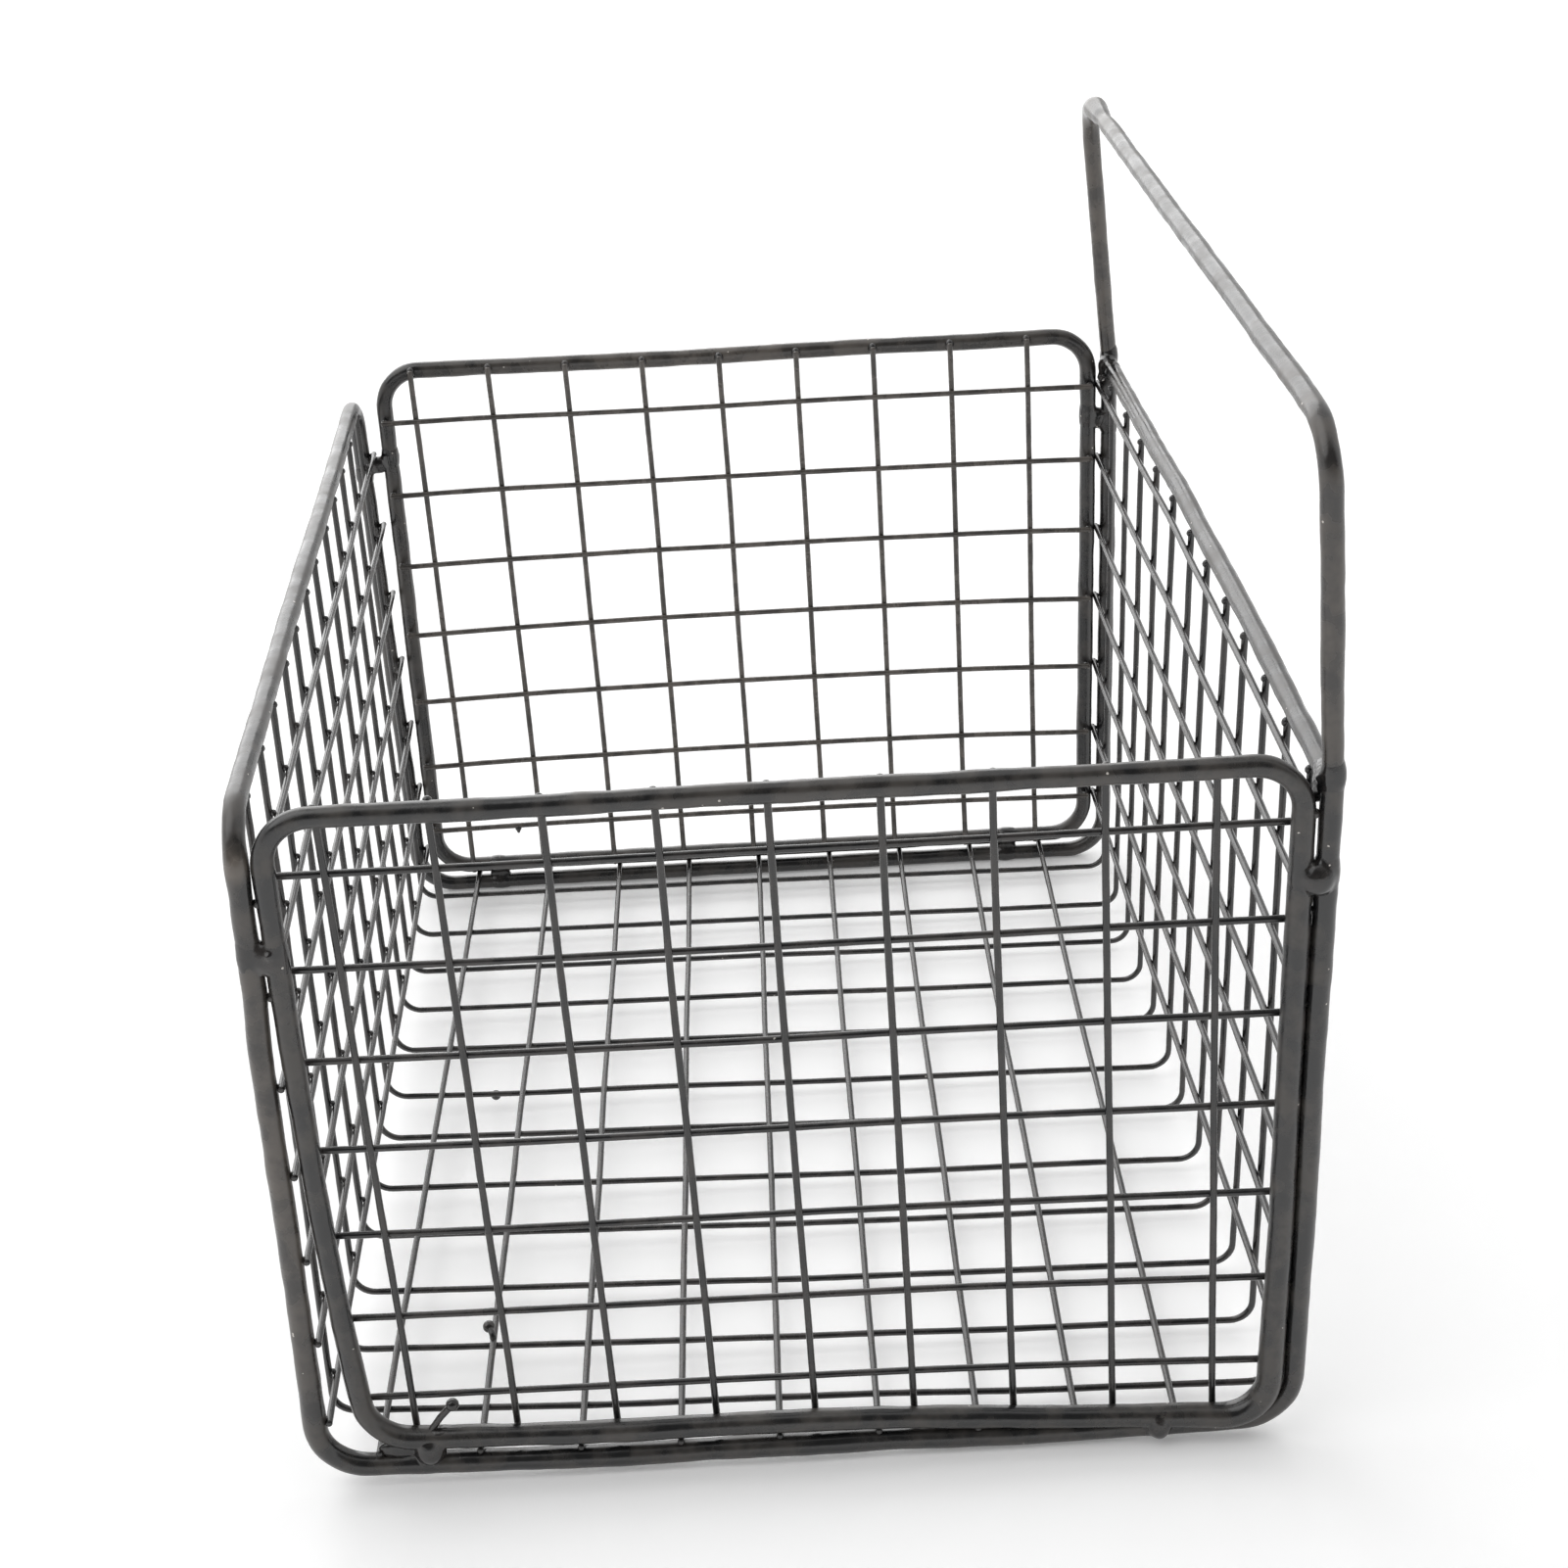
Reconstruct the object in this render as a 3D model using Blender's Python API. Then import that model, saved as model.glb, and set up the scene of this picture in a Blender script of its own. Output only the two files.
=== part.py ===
# Wall basket welded from steel rod and one-inch wire mesh.
# X runs along the basket, the wall side with the hanging loop is +Y, the front is -Y.
# The origin is on the ground, under the middle of the body.

import math

import bmesh
import bpy
from mathutils import Matrix, Vector

MM = 0.001

# Stock: the thick rod, the thin mesh wire and the gap that touching pieces keep
ROD_DIAMETER = 5.2 * MM
WIRE_DIAMETER = 1.8 * MM
SEAT_GAP = 0.3 * MM

# Mesh: the sheets are cut to whole squares, and the frame is bent to fit round them
MESH_PITCH = 25.4 * MM
U_WIRE_COUNT = 12
FLOOR_WIRE_COUNT = 9
WALL_WIRE_COUNT = 7
PANEL_UP_WIRE_COUNT = 9
PANEL_CROSS_WIRE_COUNT = 7

# Trough: from the outer wires to the rod centre lines, and the bends
END_MARGIN = 16.3 * MM
SIDE_MARGIN = 22.4 * MM
FLOOR_MESH_SHIFT = -5.0 * MM
FRONT_WALL_FIRST_HEIGHT = 17.6 * MM
FRONT_WALL_TOP_MARGIN = 20.0 * MM
BACK_WALL_FIRST_HEIGHT = 25.9 * MM
BACK_WALL_TOP_MARGIN = 6.7 * MM
UPRIGHT_ABOVE_RAIL = 2.0 * MM
BODY_BEND_RADIUS = 13.0 * MM
U_WIRE_BEND_RADIUS = 6.0 * MM
LONG_WIRE_OVERHANG = 1.8 * MM

# Hanging loop: how far its bar stands above the uprights and leans in over the basket
LOOP_RISE = 84.0 * MM
LOOP_LEAN_IN = 8.0 * MM
LOOP_BEND_RADIUS = 14.0 * MM

# End panels: how far their top rods stand above the front rail, bends and the mesh's place
PANEL_RISE = 2.0 * MM
PANEL_BEND_RADIUS = 12.0 * MM
NEAR_PANEL_MESH_SHIFT = 0.5 * MM
FAR_PANEL_MESH_SHIFT = -6.0 * MM
NEAR_PANEL_TOP_MARGIN = 17.3 * MM
FAR_PANEL_TOP_MARGIN = 13.6 * MM
PANEL_WIRE_LAP = 1.0 * MM
CROSSING_SINK = 0.35 * MM

# Weld beads between a panel frame and the body rod: half sizes, drop below the wall's top wire
# and distance from the floor's outer wires
BEAD_ALONG = 4.6 * MM
BEAD_ACROSS = 3.6 * MM
BEAD_OUT = 3.5 * MM
NEAR_FRONT_BEAD_DROP = 14.5 * MM
NEAR_BACK_BEAD_DROP = 14.8 * MM
FAR_FRONT_BEAD_DROP = 6.5 * MM
FAR_BACK_BEAD_DROP = 13.3 * MM
FRONT_BEAD_INSET = 11.6 * MM
BACK_BEAD_INSET = 8.1 * MM

# Weld collars where upright, loop and back rail meet: half sizes, and how far in from the rod centres
COLLAR_RADIUS = 4.2 * MM
COLLAR_HEIGHT = 5.4 * MM
COLLAR_INSET = 1.6 * MM

# Facets: rods and wires keep a flat side towards each axis
ROD_SIDES = 12
WIRE_SIDES = 6
BEND_STEPS = 5
BEAD_SEGMENTS = 16
BEAD_RINGS = 10

# Sharp edges of shaded rods and paint
SHARP_ANGLE = math.radians(40)
PAINT_COLOR = (0.035, 0.035, 0.037, 1.0)
PAINT_ROUGHNESS = 0.42

# Sizes that follow from those above
ROD_RADIUS = ROD_DIAMETER / 2
WIRE_RADIUS = WIRE_DIAMETER / 2
END_X = MESH_PITCH * (U_WIRE_COUNT - 1) / 2 + END_MARGIN
SIDE_Y = MESH_PITCH * (FLOOR_WIRE_COUNT - 1) / 2 + SIDE_MARGIN
WALL_SPAN = MESH_PITCH * (WALL_WIRE_COUNT - 1)
FRONT_WALL_TOP = FRONT_WALL_FIRST_HEIGHT + WALL_SPAN
BACK_WALL_TOP = BACK_WALL_FIRST_HEIGHT + WALL_SPAN
FRONT_RAIL_HEIGHT = FRONT_WALL_TOP + FRONT_WALL_TOP_MARGIN
BACK_RAIL_HEIGHT = BACK_WALL_TOP + BACK_WALL_TOP_MARGIN
BACK_UPRIGHT_TOP = BACK_RAIL_HEIGHT + UPRIGHT_ABOVE_RAIL
PANEL_TOP_HEIGHT = FRONT_RAIL_HEIGHT + PANEL_RISE
NEST = 2 * ROD_RADIUS + WIRE_DIAMETER + 2 * SEAT_GAP
PANEL_SIDE_Y = SIDE_Y - NEST
PANEL_BOTTOM_HEIGHT = ROD_RADIUS + NEST
LONG_WIRE_INSET = ROD_RADIUS + SEAT_GAP + WIRE_RADIUS
U_WIRE_INSET = LONG_WIRE_INSET - WIRE_DIAMETER - SEAT_GAP
LOOP_LEAN = math.atan2(LOOP_LEAN_IN, LOOP_RISE)

UP = Vector((0, 0, 1))
ALONG = Vector((1, 0, 0))
ACROSS = Vector((0, 1, 0))


def clear_scene():
    for item in list(bpy.data.objects):
        bpy.data.objects.remove(item, do_unlink=True)


def paint_material(name):
    material = bpy.data.materials.new(name + "_paint")
    material.use_nodes = True
    shader = material.node_tree.nodes["Principled BSDF"]
    shader.inputs["Base Color"].default_value = PAINT_COLOR
    shader.inputs["Roughness"].default_value = PAINT_ROUGHNESS
    shader.inputs["Metallic"].default_value = 0.0
    return material


def add_object(name, mesh_data):
    item = bpy.data.objects.new(name, mesh_data)
    bpy.context.collection.objects.link(item)
    return item


def finish_part(item):
    item.data.materials.clear()
    item.data.materials.append(paint_material(item.name))
    item.data.shade_smooth()
    item.data.set_sharp_from_angle(angle=SHARP_ANGLE)
    return item


def hide_cutter(item):
    item.hide_render = True
    item.display_type = 'WIRE'
    return item


def bend(bm, ring, corner, heading, turn, radius):
    # Sweeps the ring round a corner and returns the new ring and the end of the arc.
    angle = heading.angle(turn)
    tangent = radius * math.tan(angle / 2)
    side = (turn - heading * heading.dot(turn)).normalized()
    start = corner - heading * tangent
    axis = heading.cross(turn).normalized()
    swept = bmesh.ops.spin(bm, geom=ring, cent=start + side * radius, axis=axis,
                           angle=angle, steps=BEND_STEPS, use_duplicate=False)
    return swept["geom_last"], corner + turn * tangent


def run_straight(bm, ring, offset):
    edges = [part for part in ring if isinstance(part, bmesh.types.BMEdge)]
    pulled = bmesh.ops.extrude_edge_only(bm, edges=edges)["geom"]
    verts = [part for part in pulled if isinstance(part, bmesh.types.BMVert)]
    bmesh.ops.translate(bm, verts=verts, vec=offset)
    return [part for part in pulled if not isinstance(part, bmesh.types.BMFace)]


def bent_rod(name, route, diameter, sides, flat, bend_radius=0.0, closed=False):
    # A rod along the route's corners, with one of its flat sides facing along flat.
    bm = bmesh.new()
    headings = [(end - start).normalized() for start, end in zip(route, route[1:])]
    first = headings[0]
    place = Matrix((flat, first.cross(flat), first)).transposed().to_4x4()
    place.translation = route[0]
    place = place @ Matrix.Rotation(math.pi / sides - math.pi / 2, 4, 'Z')
    corner_radius = diameter / 2 / math.cos(math.pi / sides)
    bmesh.ops.create_circle(bm, segments=sides, radius=corner_radius, matrix=place)
    ring = bm.verts[:] + bm.edges[:]
    start_ring = bm.edges[:]
    here = route[0]
    for corner, heading, turn in zip(route[1:], headings, headings[1:]):
        tangent = bend_radius * math.tan(heading.angle(turn) / 2)
        ring = run_straight(bm, ring, corner - heading * tangent - here)
        ring, here = bend(bm, ring, corner, heading, turn, bend_radius)
    ring = run_straight(bm, ring, route[-1] - here)
    if closed:
        bmesh.ops.remove_doubles(bm, verts=bm.verts[:], dist=SEAT_GAP / sides)
    else:
        end_ring = [part for part in ring if isinstance(part, bmesh.types.BMEdge)]
        bmesh.ops.holes_fill(bm, edges=start_ring + end_ring, sides=sides)
    bmesh.ops.recalc_face_normals(bm, faces=bm.faces[:])
    mesh_data = bpy.data.meshes.new(name)
    bm.to_mesh(mesh_data)
    bm.free()
    return add_object(name, mesh_data)


def rod(name, route, flat, bend_radius=0.0, closed=False, extra=0.0):
    return bent_rod(name, route, ROD_DIAMETER + extra, ROD_SIDES, flat, bend_radius, closed)


def wire(name, route, flat, bend_radius=0.0):
    return bent_rod(name, route, WIRE_DIAMETER, WIRE_SIDES, flat, bend_radius)


def boolean(item, other, operation):
    modifier = item.modifiers.new(operation.title(), 'BOOLEAN')
    modifier.object = other
    modifier.operation = operation
    modifier.solver = 'EXACT'


def body_rod():
    # One rod: up a back upright, along the floor, up the front, along the front rail and back.
    route = [
        Vector((END_X, SIDE_Y, BACK_UPRIGHT_TOP)),
        Vector((END_X, SIDE_Y, ROD_RADIUS)),
        Vector((END_X, -SIDE_Y, ROD_RADIUS)),
        Vector((END_X, -SIDE_Y, FRONT_RAIL_HEIGHT)),
        Vector((-END_X, -SIDE_Y, FRONT_RAIL_HEIGHT)),
        Vector((-END_X, -SIDE_Y, ROD_RADIUS)),
        Vector((-END_X, SIDE_Y, ROD_RADIUS)),
        Vector((-END_X, SIDE_Y, BACK_UPRIGHT_TOP)),
    ]
    return finish_part(rod("body_rod", route, ALONG, BODY_BEND_RADIUS))


def back_rail_route():
    reach = END_X - ROD_RADIUS - SEAT_GAP
    return [Vector((-reach, SIDE_Y, BACK_RAIL_HEIGHT)), Vector((reach, SIDE_Y, BACK_RAIL_HEIGHT))]


def back_rail():
    return finish_part(rod("back_rail", back_rail_route(), ACROSS))


def loop_point(x, rise):
    # A point of the leaning loop, rise measured along its posts from its feet.
    foot = BACK_UPRIGHT_TOP + SEAT_GAP + ROD_RADIUS * math.sin(LOOP_LEAN)
    return Vector((x, SIDE_Y - rise * math.sin(LOOP_LEAN), foot + rise * math.cos(LOOP_LEAN)))


def hanging_loop():
    rise = math.hypot(LOOP_RISE, LOOP_LEAN_IN)
    route = [loop_point(-END_X, 0), loop_point(-END_X, rise), loop_point(END_X, rise), loop_point(END_X, 0)]
    return finish_part(rod("hanging_loop", route, ALONG, LOOP_BEND_RADIUS))


def panel_frame(name, end):
    # A closed loop that starts and ends in the middle of its bottom.
    route = [
        Vector((0, 0, PANEL_BOTTOM_HEIGHT)),
        Vector((0, PANEL_SIDE_Y, PANEL_BOTTOM_HEIGHT)),
        Vector((0, PANEL_SIDE_Y, PANEL_TOP_HEIGHT)),
        Vector((0, -PANEL_SIDE_Y, PANEL_TOP_HEIGHT)),
        Vector((0, -PANEL_SIDE_Y, PANEL_BOTTOM_HEIGHT)),
        Vector((0, 0, PANEL_BOTTOM_HEIGHT)),
    ]
    frame = rod(name, route, ALONG, PANEL_BEND_RADIUS, closed=True)
    frame.location.x = end * END_X
    return finish_part(frame)


def joined(name, parts):
    # Puts wires that don't touch each other into one mesh.
    bm = bmesh.new()
    for part in parts:
        bm.from_mesh(part.data)
        bpy.data.objects.remove(part, do_unlink=True)
    mesh_data = bpy.data.meshes.new(name)
    bm.to_mesh(mesh_data)
    bm.free()
    return add_object(name, mesh_data)


def places(first, count):
    return [first + index * MESH_PITCH for index in range(count)]


def places_about(middle, count):
    return places(middle - MESH_PITCH * (count - 1) / 2, count)


def panel_mesh(name, end, shift, top_margin):
    # Upright wires lie on the frame, cross wires are pressed a little way into them from inside.
    cross_x = end * (CROSSING_SINK - WIRE_DIAMETER)
    low = PANEL_BOTTOM_HEIGHT - PANEL_WIRE_LAP
    high = PANEL_TOP_HEIGHT + PANEL_WIRE_LAP
    reach = PANEL_SIDE_Y + PANEL_WIRE_LAP
    uprights = []
    for y in places_about(shift, PANEL_UP_WIRE_COUNT):
        ends = [Vector((0, y, low)), Vector((0, y, high))]
        uprights.append(wire(name + "_up", ends, ALONG))
    crosses = []
    lowest = PANEL_TOP_HEIGHT - top_margin - MESH_PITCH * (PANEL_CROSS_WIRE_COUNT - 1)
    for z in places(lowest, PANEL_CROSS_WIRE_COUNT):
        ends = [Vector((cross_x, -reach, z)), Vector((cross_x, reach, z))]
        crosses.append(wire(name + "_cross", ends, ALONG))
    sheet = joined(name, uprights)
    sheet.location.x = end * (END_X - LONG_WIRE_INSET)
    cross_sheet = hide_cutter(joined(name + "_crosses", crosses))
    cross_sheet.location = sheet.location
    boolean(sheet, cross_sheet, 'UNION')
    return finish_part(sheet)


def u_wires():
    side = SIDE_Y - U_WIRE_INSET
    floor = ROD_RADIUS + U_WIRE_INSET
    front_top = FRONT_RAIL_HEIGHT - ROD_RADIUS - SEAT_GAP
    back_top = BACK_RAIL_HEIGHT - ROD_RADIUS - SEAT_GAP
    route = [
        Vector((0, -side, front_top)),
        Vector((0, -side, floor)),
        Vector((0, side, floor)),
        Vector((0, side, back_top)),
    ]
    for number, x in enumerate(places_about(0, U_WIRE_COUNT), 1):
        item = wire(f"u_wire_{number:02d}", route, ACROSS, U_WIRE_BEND_RADIUS)
        item.location.x = x
        finish_part(item)


def long_wire(name, y, z, flat):
    reach = ALONG * (END_X + LONG_WIRE_OVERHANG)
    item = wire(name, [-reach, reach], flat)
    item.location = (0, y, z)
    return finish_part(item)


def floor_wire_places():
    return places_about(FLOOR_MESH_SHIFT, FLOOR_WIRE_COUNT)


def long_wires():
    floor = ROD_RADIUS + LONG_WIRE_INSET
    for number, y in enumerate(floor_wire_places(), 1):
        long_wire(f"floor_wire_{number:02d}", y, floor, UP)
    wall = SIDE_Y - LONG_WIRE_INSET
    for number, z in enumerate(places(FRONT_WALL_FIRST_HEIGHT, WALL_WIRE_COUNT), 1):
        long_wire(f"front_wall_wire_{number:02d}", -wall, z, ACROSS)
    for number, z in enumerate(places(BACK_WALL_FIRST_HEIGHT, WALL_WIRE_COUNT), 1):
        long_wire(f"back_wall_wire_{number:02d}", wall, z, ACROSS)


def lump(name, place, half_sizes):
    bm = bmesh.new()
    bmesh.ops.create_uvsphere(bm, u_segments=BEAD_SEGMENTS, v_segments=BEAD_RINGS, radius=1.0)
    bmesh.ops.scale(bm, vec=half_sizes, verts=bm.verts[:])
    mesh_data = bpy.data.meshes.new(name)
    bm.to_mesh(mesh_data)
    bm.free()
    item = add_object(name, mesh_data)
    item.location = place
    return item


def clear_of_rod(item, middle, heading, flat, reach):
    # Cuts the item back so that it keeps the seat gap to a rod through middle.
    route = [middle - heading * reach, middle + heading * reach]
    cutter = rod(item.name + "_clearance", route, flat, extra=2 * SEAT_GAP)
    boolean(item, hide_cutter(cutter), 'DIFFERENCE')


def side_bead(name, end, side, height):
    x = end * END_X
    middle = Vector((x, side * (SIDE_Y - NEST / 2), height))
    bead = lump(name, middle, (BEAD_OUT, BEAD_ACROSS, BEAD_ALONG))
    clear_of_rod(bead, Vector((x, side * SIDE_Y, height)), UP, ALONG, 2 * BEAD_ALONG)
    clear_of_rod(bead, Vector((x, side * PANEL_SIDE_Y, height)), UP, ALONG, 2 * BEAD_ALONG)
    return finish_part(bead)


def bottom_bead(name, end, y):
    x = end * END_X
    middle = Vector((x, y, ROD_RADIUS + NEST / 2))
    bead = lump(name, middle, (BEAD_OUT, BEAD_ALONG, BEAD_ACROSS))
    clear_of_rod(bead, Vector((x, y, ROD_RADIUS)), ACROSS, ALONG, 2 * BEAD_ALONG)
    clear_of_rod(bead, Vector((x, y, PANEL_BOTTOM_HEIGHT)), ACROSS, ALONG, 2 * BEAD_ALONG)
    return finish_part(bead)


def panel_beads():
    # Each bead sits between two long wires, so it is placed from the nearest of them.
    side_bead("near_front_bead", 1, -1, FRONT_WALL_TOP - NEAR_FRONT_BEAD_DROP)
    side_bead("near_back_bead", 1, 1, BACK_WALL_TOP - NEAR_BACK_BEAD_DROP)
    side_bead("far_front_bead", -1, -1, FRONT_WALL_TOP - FAR_FRONT_BEAD_DROP)
    side_bead("far_back_bead", -1, 1, BACK_WALL_TOP - FAR_BACK_BEAD_DROP)
    front_y = floor_wire_places()[0] + FRONT_BEAD_INSET
    back_y = floor_wire_places()[-1] - BACK_BEAD_INSET
    bottom_bead("near_bottom_front_bead", 1, front_y)
    bottom_bead("near_bottom_back_bead", 1, back_y)
    bottom_bead("far_bottom_front_bead", -1, front_y)
    bottom_bead("far_bottom_back_bead", -1, back_y)


def weld_collar(name, end):
    # A lump round the joint of upright, loop foot and rail end, cut clear of all three.
    x = end * END_X
    joint = Vector((x, SIDE_Y, BACK_UPRIGHT_TOP))
    middle = joint - ALONG * end * COLLAR_INSET - ACROSS * COLLAR_INSET
    collar = lump(name, middle, (COLLAR_RADIUS, COLLAR_RADIUS, COLLAR_HEIGHT))
    reach = 2 * COLLAR_HEIGHT
    cut = reach + SEAT_GAP
    clear_of_rod(collar, joint - UP * reach, UP, ALONG, cut)
    post = (loop_point(x, reach) - loop_point(x, 0)).normalized()
    clear_of_rod(collar, loop_point(x, reach), post, ALONG, cut)
    rail_middle = end * (END_X - ROD_RADIUS - SEAT_GAP - reach)
    clear_of_rod(collar, Vector((rail_middle, SIDE_Y, BACK_RAIL_HEIGHT)), ALONG, ACROSS, cut)
    return finish_part(collar)


def main():
    clear_scene()
    body_rod()
    back_rail()
    hanging_loop()
    panel_frame("near_panel_frame", 1)
    panel_frame("far_panel_frame", -1)
    panel_mesh("near_panel_mesh", 1, NEAR_PANEL_MESH_SHIFT, NEAR_PANEL_TOP_MARGIN)
    panel_mesh("far_panel_mesh", -1, FAR_PANEL_MESH_SHIFT, FAR_PANEL_TOP_MARGIN)
    u_wires()
    long_wires()
    panel_beads()
    weld_collar("near_weld_collar", 1)
    weld_collar("far_weld_collar", -1)


main()
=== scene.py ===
# Wall basket: a frame of bent steel rod with one-inch welded mesh, all under one black coat.
# Each rod, wire and weld stands in the place of its CAD node, and the small lumps and drops of the
# coat are added to them. Metres, +Z up, the wall side is +Y and the near end is +X.

import math
import random

import bpy
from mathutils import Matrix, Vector


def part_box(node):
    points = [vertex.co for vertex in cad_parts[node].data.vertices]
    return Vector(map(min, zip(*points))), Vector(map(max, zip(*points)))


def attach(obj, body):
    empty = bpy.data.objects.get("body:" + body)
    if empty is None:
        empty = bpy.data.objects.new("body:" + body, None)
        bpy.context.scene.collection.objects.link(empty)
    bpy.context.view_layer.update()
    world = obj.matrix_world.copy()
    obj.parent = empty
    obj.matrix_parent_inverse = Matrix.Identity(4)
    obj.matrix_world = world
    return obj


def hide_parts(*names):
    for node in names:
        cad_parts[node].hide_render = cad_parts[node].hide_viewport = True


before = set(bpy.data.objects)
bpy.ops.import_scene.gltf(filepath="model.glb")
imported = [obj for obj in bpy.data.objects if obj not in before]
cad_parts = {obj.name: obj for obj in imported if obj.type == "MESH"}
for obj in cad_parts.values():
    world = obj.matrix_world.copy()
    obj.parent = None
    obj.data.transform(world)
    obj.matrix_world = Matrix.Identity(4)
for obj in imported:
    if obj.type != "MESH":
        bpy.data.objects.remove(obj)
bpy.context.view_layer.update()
chance = random.Random(4)          # one seeded source, for the weld spatter
mm = 0.001


# Sizes that the frame gives
def middleOf(node):
    low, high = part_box(node)
    return (low + high) / 2


def highOf(node):
    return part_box(node)[1]


def lowOf(node):
    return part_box(node)[0]


rodRadius = (highOf("back_rail").z - lowOf("back_rail").z) / 2
wireRadius = (highOf("floor_wire_01").z - lowOf("floor_wire_01").z) / 2
endX = highOf("body_rod").x - rodRadius
sideY = highOf("body_rod").y - rodRadius
frontRailZ = highOf("body_rod").z - rodRadius
backRailZ = middleOf("back_rail").z
loopFootZ = lowOf("hanging_loop").z
loopTopZ = highOf("hanging_loop").z
panelSideY = highOf("near_panel_frame").y - rodRadius
panelTopZ = highOf("near_panel_frame").z - rodRadius
panelBottomZ = lowOf("near_panel_frame").z + rodRadius
squarePitch = middleOf("u_wire_02").x - middleOf("u_wire_01").x
uWireNodes = sorted(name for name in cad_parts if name.startswith("u_wire"))
frontWireNodes = sorted(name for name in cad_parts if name.startswith("front_wall_wire"))
backWireNodes = sorted(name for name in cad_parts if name.startswith("back_wall_wire"))
floorWireNodes = sorted(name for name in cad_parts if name.startswith("floor_wire"))


# Working in edit mode
def deselectAll():
    if bpy.context.object and bpy.context.object.mode != 'OBJECT':
        bpy.ops.object.mode_set(mode='OBJECT')
    bpy.ops.object.select_all(action='DESELECT')


def makeActive(piece):
    deselectAll()
    piece.select_set(True)
    bpy.context.view_layer.objects.active = piece


def placeOf(mesh, part):
    if hasattr(part, "co"):
        return part.co
    points = [mesh.vertices[index].co for index in part.vertices]
    return sum(points, Vector()) / len(points)


def selectBy(piece, kind, test):
    # kind is vertices, edges or polygons, and the test gets the middle of each one
    makeActive(piece)
    mesh = piece.data
    for group in (mesh.vertices, mesh.edges, mesh.polygons):
        group.foreach_set("select", [False] * len(group))
    for part in getattr(mesh, kind):
        part.select = test(placeOf(mesh, part))
    modes = (kind == 'vertices', kind == 'edges', kind == 'polygons')
    bpy.context.tool_settings.mesh_select_mode = modes
    bpy.ops.object.mode_set(mode='EDIT')


def pushRing(offset, scale=1.0, middle=None):
    bpy.ops.mesh.extrude_region_move(TRANSFORM_OT_translate={"value": offset})
    if scale != 1.0:
        bpy.ops.transform.resize(value=(scale, scale, scale), center_override=middle)


def nameIt(piece, name):
    piece.name = name
    piece.data.name = name
    return piece


def applyModifier(piece, kind, **settings):
    makeActive(piece)
    modifier = piece.modifiers.new(kind.title(), kind)
    for name, value in settings.items():
        setattr(modifier, name, value)
    bpy.ops.object.modifier_apply(modifier=modifier.name)


def joinPieces(pieces, name):
    deselectAll()
    for piece in pieces:
        piece.select_set(True)
    bpy.context.view_layer.objects.active = pieces[0]
    if len(pieces) > 1:
        bpy.ops.object.join()
    return nameIt(bpy.context.object, name)


def copyTo(piece, name, shift):
    # a copy with its own mesh, moved into its place
    makeActive(piece)
    bpy.ops.object.duplicate()
    bpy.ops.transform.translate(value=shift)
    bpy.ops.object.transform_apply(location=True, rotation=True, scale=True)
    return nameIt(bpy.context.object, name)


# Swept rods and wires
def cutRun(piece, start, end, step, reach):
    # cuts a straight run into short rings, so that the coat can be uneven along it
    middle = (start + end) / 2
    cuts = int((end - start).length / step) - 1
    if cuts < 1:
        return
    selectBy(piece, 'edges', lambda place: (place - middle).length < reach)
    bpy.ops.mesh.subdivide_edgering(number_cuts=cuts, interpolation='LINEAR', smoothness=0)


def roundEnd(piece, tip, outward, radius, profile):
    # the coat draws into a smooth cap over a cut end: (how far out, how wide) in radii
    offPlane, offTip = radius * 0.1, radius * 1.2
    selectBy(piece, 'edges', lambda place: abs((place - tip).dot(outward)) < offPlane
             and (place - tip).length < offTip)
    far, wide = 0.0, 1.0
    for nextFar, nextWide in profile:
        step = outward * (nextFar - far) * radius
        pushRing(step, nextWide / wide, tip + outward * nextFar * radius)
        far, wide = nextFar, nextWide
    bpy.ops.mesh.edge_face_add()


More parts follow.
